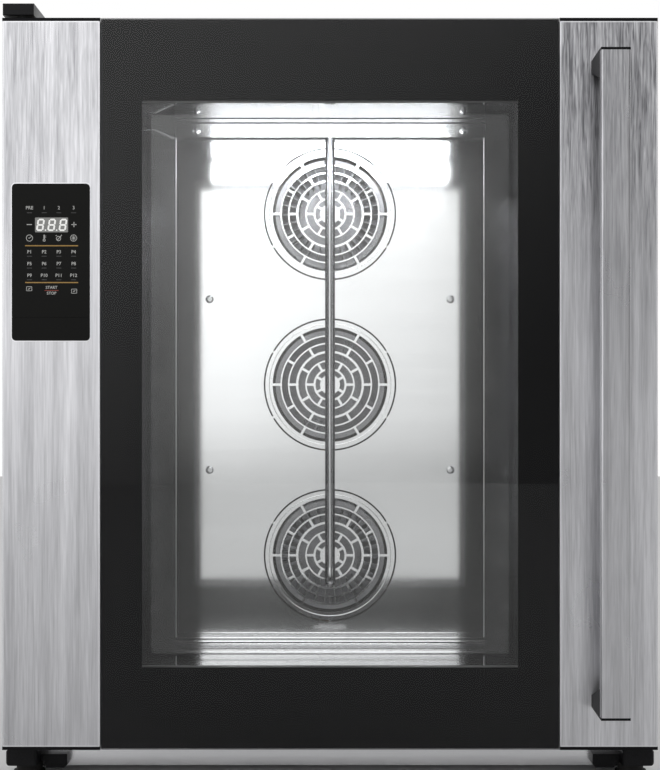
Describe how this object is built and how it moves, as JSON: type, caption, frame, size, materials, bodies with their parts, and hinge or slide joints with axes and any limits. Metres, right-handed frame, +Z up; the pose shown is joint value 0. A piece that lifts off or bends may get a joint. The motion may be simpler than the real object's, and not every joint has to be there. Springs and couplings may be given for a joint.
{
  "type": "convection oven",
  "caption": "Countertop convection oven with one full-width glazed door, a bar handle, a touch panel in the door, wire tray racks and round fan grilles.",
  "frame": {"origin": "on the floor, midway between the sides and midway between the front of the handle and the end of the water inlet", "axes": "+X to the right seen from the front, +Y from the front to the back, +Z up"},
  "size_m": [0.8, 0.871, 0.952],
  "materials": {
    "casing_steel": "satin stainless sheet",
    "column_steel": "stainless with upright grain",
    "cavity_steel": "bright rolled stainless",
    "galvanised": "galvanised sheet",
    "wool": "mineral wool",
    "silicone": "black silicone",
    "rack_wire": "bright steel wire and strip",
    "fan_steel": "stainless sheet",
    "turned_steel": "turned steel",
    "fastener_steel": "bright screws",
    "motor_paint": "dark enamel",
    "heater_metal": "heat stained tube",
    "tube_steel": "polished tube",
    "valve_brass": "cast brass",
    "pipe_metal": "drawn pipe",
    "black_plastic": "moulded black plastic",
    "circuit_board": "glass fibre board",
    "black_iron": "black painted casting",
    "bush_nylon": "natural nylon",
    "rubber_foot": "black rubber",
    "frame_steel": "black painted sheet",
    "dark_glass": "outer pane with a black border",
    "clear_glass": "inner pane",
    "panel_gloss": "black touch plate",
    "lamp_cover": "milky cover",
    "handle_steel": "bar with upright grain"
  },
  "bodies": {
    "oven": {"base_pan": "casing_steel", "side_panels": "casing_steel", "top_cover": "casing_steel", "rear_panel": "casing_steel", "front_frame": "casing_steel", "motor_plate": "galvanised", "insulation": "wool", "cavity_sides": "cavity_steel", "cavity_roof": "cavity_steel", "cavity_floor": "cavity_steel", "cavity_back": "cavity_steel", "door_gasket": "silicone", "tray_racks": "rack_wire", "fan_guard": "cavity_steel", "guard_rail": "cavity_steel", "guard_spacers": "turned_steel", "guard_screws": "fastener_steel", "fan_motors": "motor_paint", "heating_rings": "heater_metal", "steam_tube": "tube_steel", "cavity_probe": "turned_steel", "drain_cup": "pipe_metal", "drain_cover": "fastener_steel", "drain_pipe": "pipe_metal", "vent_chimney": "pipe_metal", "water_valve": "valve_brass", "water_pipe": "pipe_metal", "cable_gland": "black_plastic", "power_board": "circuit_board", "cooler_frame": "black_plastic", "hinge_bracket_top": "black_iron", "hinge_bracket_bottom": "black_iron", "door_rest": "black_iron", "hinge_pins": "turned_steel", "foot_pads": "rubber_foot", "catch_housing": "black_plastic"},
    "door": {"door_frame": "frame_steel", "outer_glass": "dark_glass", "inner_glass": "clear_glass", "glass_clips": "fastener_steel", "column_right": "column_steel", "column_left": "column_steel", "column_caps": "black_plastic", "control_panel": "panel_gloss", "panel_cover": "panel_gloss", "control_board": "circuit_board", "door_lamp": "lamp_cover", "handle_grip": "handle_steel", "handle_posts": "black_plastic", "hinge_bushes": "bush_nylon", "door_strike": "fastener_steel"},
    "fan_top": {"fan_wheel_top": "fan_steel", "motor_shaft_top": "turned_steel"},
    "fan_middle": {"fan_wheel_middle": "fan_steel", "motor_shaft_middle": "turned_steel"},
    "fan_bottom": {"fan_wheel_bottom": "fan_steel", "motor_shaft_bottom": "turned_steel"},
    "cooler": {"cooler_rotor": "black_plastic"},
    "catch": {"catch_plunger": "turned_steel"},
    "roller": {"catch_roller": "bush_nylon"}
  },
  "joints": [
    {"name": "door_hinge", "type": "hinge", "parent": "oven", "child": "door", "pos_m": [-0.378, -0.3435, 0.48675], "axis": [0, 0, -1], "range_deg": [0, 180]},
    {"name": "fan_top_spin", "type": "hinge", "parent": "oven", "child": "fan_top", "pos_m": [0, 0.1845, 0.7425], "axis": [0, 1, 0], "continuous": true},
    {"name": "fan_middle_spin", "type": "hinge", "parent": "oven", "child": "fan_middle", "pos_m": [0, 0.1845, 0.486], "axis": [0, 1, 0], "continuous": true},
    {"name": "fan_bottom_spin", "type": "hinge", "parent": "oven", "child": "fan_bottom", "pos_m": [0, 0.1845, 0.2295], "axis": [0, 1, 0], "continuous": true},
    {"name": "cooler_spin", "type": "hinge", "parent": "oven", "child": "cooler", "pos_m": [0.23, 0.3945, 0.52], "axis": [0, 1, 0], "continuous": true},
    {"name": "catch_press", "type": "slide", "parent": "oven", "child": "catch", "axis": [-1, 0, 0], "range_m": [0, 0.005], "stiffness_N_per_m": 1500, "springref_m": -0.004},
    {"name": "roller_spin", "type": "hinge", "parent": "catch", "child": "roller", "pos_m": [0.3727, -0.2885, 0.486], "axis": [0, 0, 1], "continuous": true}
  ]
}
